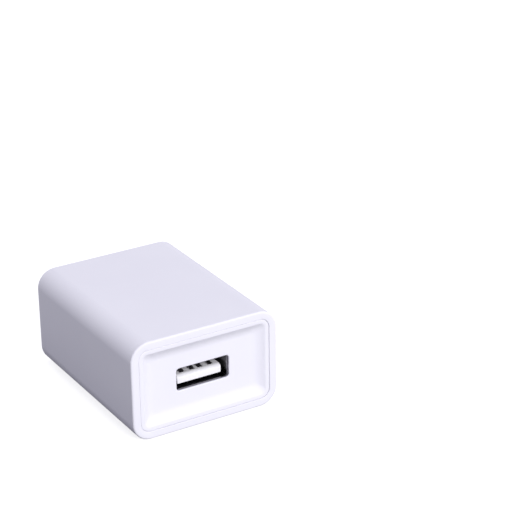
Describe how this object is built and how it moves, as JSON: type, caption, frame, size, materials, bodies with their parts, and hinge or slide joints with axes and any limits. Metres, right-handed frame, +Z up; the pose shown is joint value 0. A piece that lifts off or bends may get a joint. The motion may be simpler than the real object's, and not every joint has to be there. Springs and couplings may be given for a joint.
{
  "type": "usb wall charger",
  "caption": "Small white mains plug-in charger with flat fixed blades on one end and a recessed USB-A socket on the other.",
  "frame": {"origin": "centre of the broad face the charger rests on, halfway along its housing", "axes": "+X along the width, +Y out of the plug face along the blades, +Z up through the thickness"},
  "size_m": [0.036, 0.0623, 0.0232],
  "materials": {
    "housing_white": "fine-textured satin white moulding",
    "blade_nickel": "nickel-plated brass, brushed",
    "shell_steel": "folded sheet, dark inside the mouth",
    "socket_white": "moulded insulator",
    "contact_tin": "tin-plated spring bronze",
    "board_laminate": "single-sided laminate",
    "ferrite": "sintered ferrite",
    "bobbin_black": "moulded phenolic",
    "copper_wire": "enamelled copper",
    "polyester_tape": "polyester tape",
    "capacitor_sleeve": "shrink sleeve over a can",
    "disc_blue": "dipped epoxy",
    "chip_epoxy": "moulded epoxy",
    "chip_ceramic": "ceramic",
    "resistor_body": "flame-proof coating",
    "heat_shrink": "heat-shrink tube",
    "wire_insulation": "insulated wire",
    "insulation_film": "polyester film"
  },
  "bodies": {
    "charger": {"bias_capacitor": "capacitor_sleeve", "bias_diode": "chip_epoxy", "blade_left": "blade_nickel", "blade_retainer": "housing_white", "blade_right": "blade_nickel", "bridge_rectifier": "chip_epoxy", "choke_core": "ferrite", "choke_winding": "copper_wire", "controller_chip": "chip_epoxy", "data_line_resistor": "chip_ceramic", "feedback_resistor_lower": "chip_ceramic", "feedback_resistor_upper": "chip_ceramic", "fusible_resistor": "resistor_body", "housing_sleeve": "housing_white", "input_capacitor_left": "capacitor_sleeve", "input_capacitor_right": "capacitor_sleeve", "insulation_sheet": "insulation_film", "main_board": "board_laminate", "neutral_lead": "wire_insulation", "output_bleed_resistor": "chip_ceramic", "output_capacitor_left": "capacitor_sleeve", "output_capacitor_right": "capacitor_sleeve", "output_ceramic_capacitor": "chip_ceramic", "output_rectifier": "chip_epoxy", "plug_face_cover": "housing_white", "resistor_heat_shrink": "heat_shrink", "sense_resistor": "chip_ceramic", "snubber_capacitor": "chip_ceramic", "snubber_diode": "chip_epoxy", "snubber_resistor": "chip_ceramic", "startup_resistor_1": "chip_ceramic", "startup_resistor_2": "chip_ceramic", "transformer_bobbin": "bobbin_black", "transformer_core_front": "ferrite", "transformer_core_rear": "ferrite", "transformer_core_tape": "polyester_tape", "transformer_tape": "polyester_tape", "transformer_winding": "copper_wire", "usb_face_cover": "housing_white", "usb_insulator": "socket_white", "usb_shell": "shell_steel", "y_capacitor": "disc_blue"},
    "contact_1": {"usb_contact_1": "contact_tin"},
    "contact_2": {"usb_contact_2": "contact_tin"},
    "contact_3": {"usb_contact_3": "contact_tin"},
    "contact_4": {"usb_contact_4": "contact_tin"}
  },
  "joints": [
    {"name": "contact_1_flex", "type": "hinge", "parent": "charger", "child": "contact_1", "pos_m": [-0.0035, -0.0093, 0.0113], "axis": [1, 0, 0], "range_deg": [0, 2], "stiffness_Nm_per_rad": 0.12},
    {"name": "contact_2_flex", "type": "hinge", "parent": "charger", "child": "contact_2", "pos_m": [-0.001, -0.0093, 0.0113], "axis": [1, 0, 0], "range_deg": [0, 2], "stiffness_Nm_per_rad": 0.12},
    {"name": "contact_3_flex", "type": "hinge", "parent": "charger", "child": "contact_3", "pos_m": [0.001, -0.0093, 0.0113], "axis": [1, 0, 0], "range_deg": [0, 2], "stiffness_Nm_per_rad": 0.12},
    {"name": "contact_4_flex", "type": "hinge", "parent": "charger", "child": "contact_4", "pos_m": [0.0035, -0.0093, 0.0113], "axis": [1, 0, 0], "range_deg": [0, 2], "stiffness_Nm_per_rad": 0.12}
  ]
}
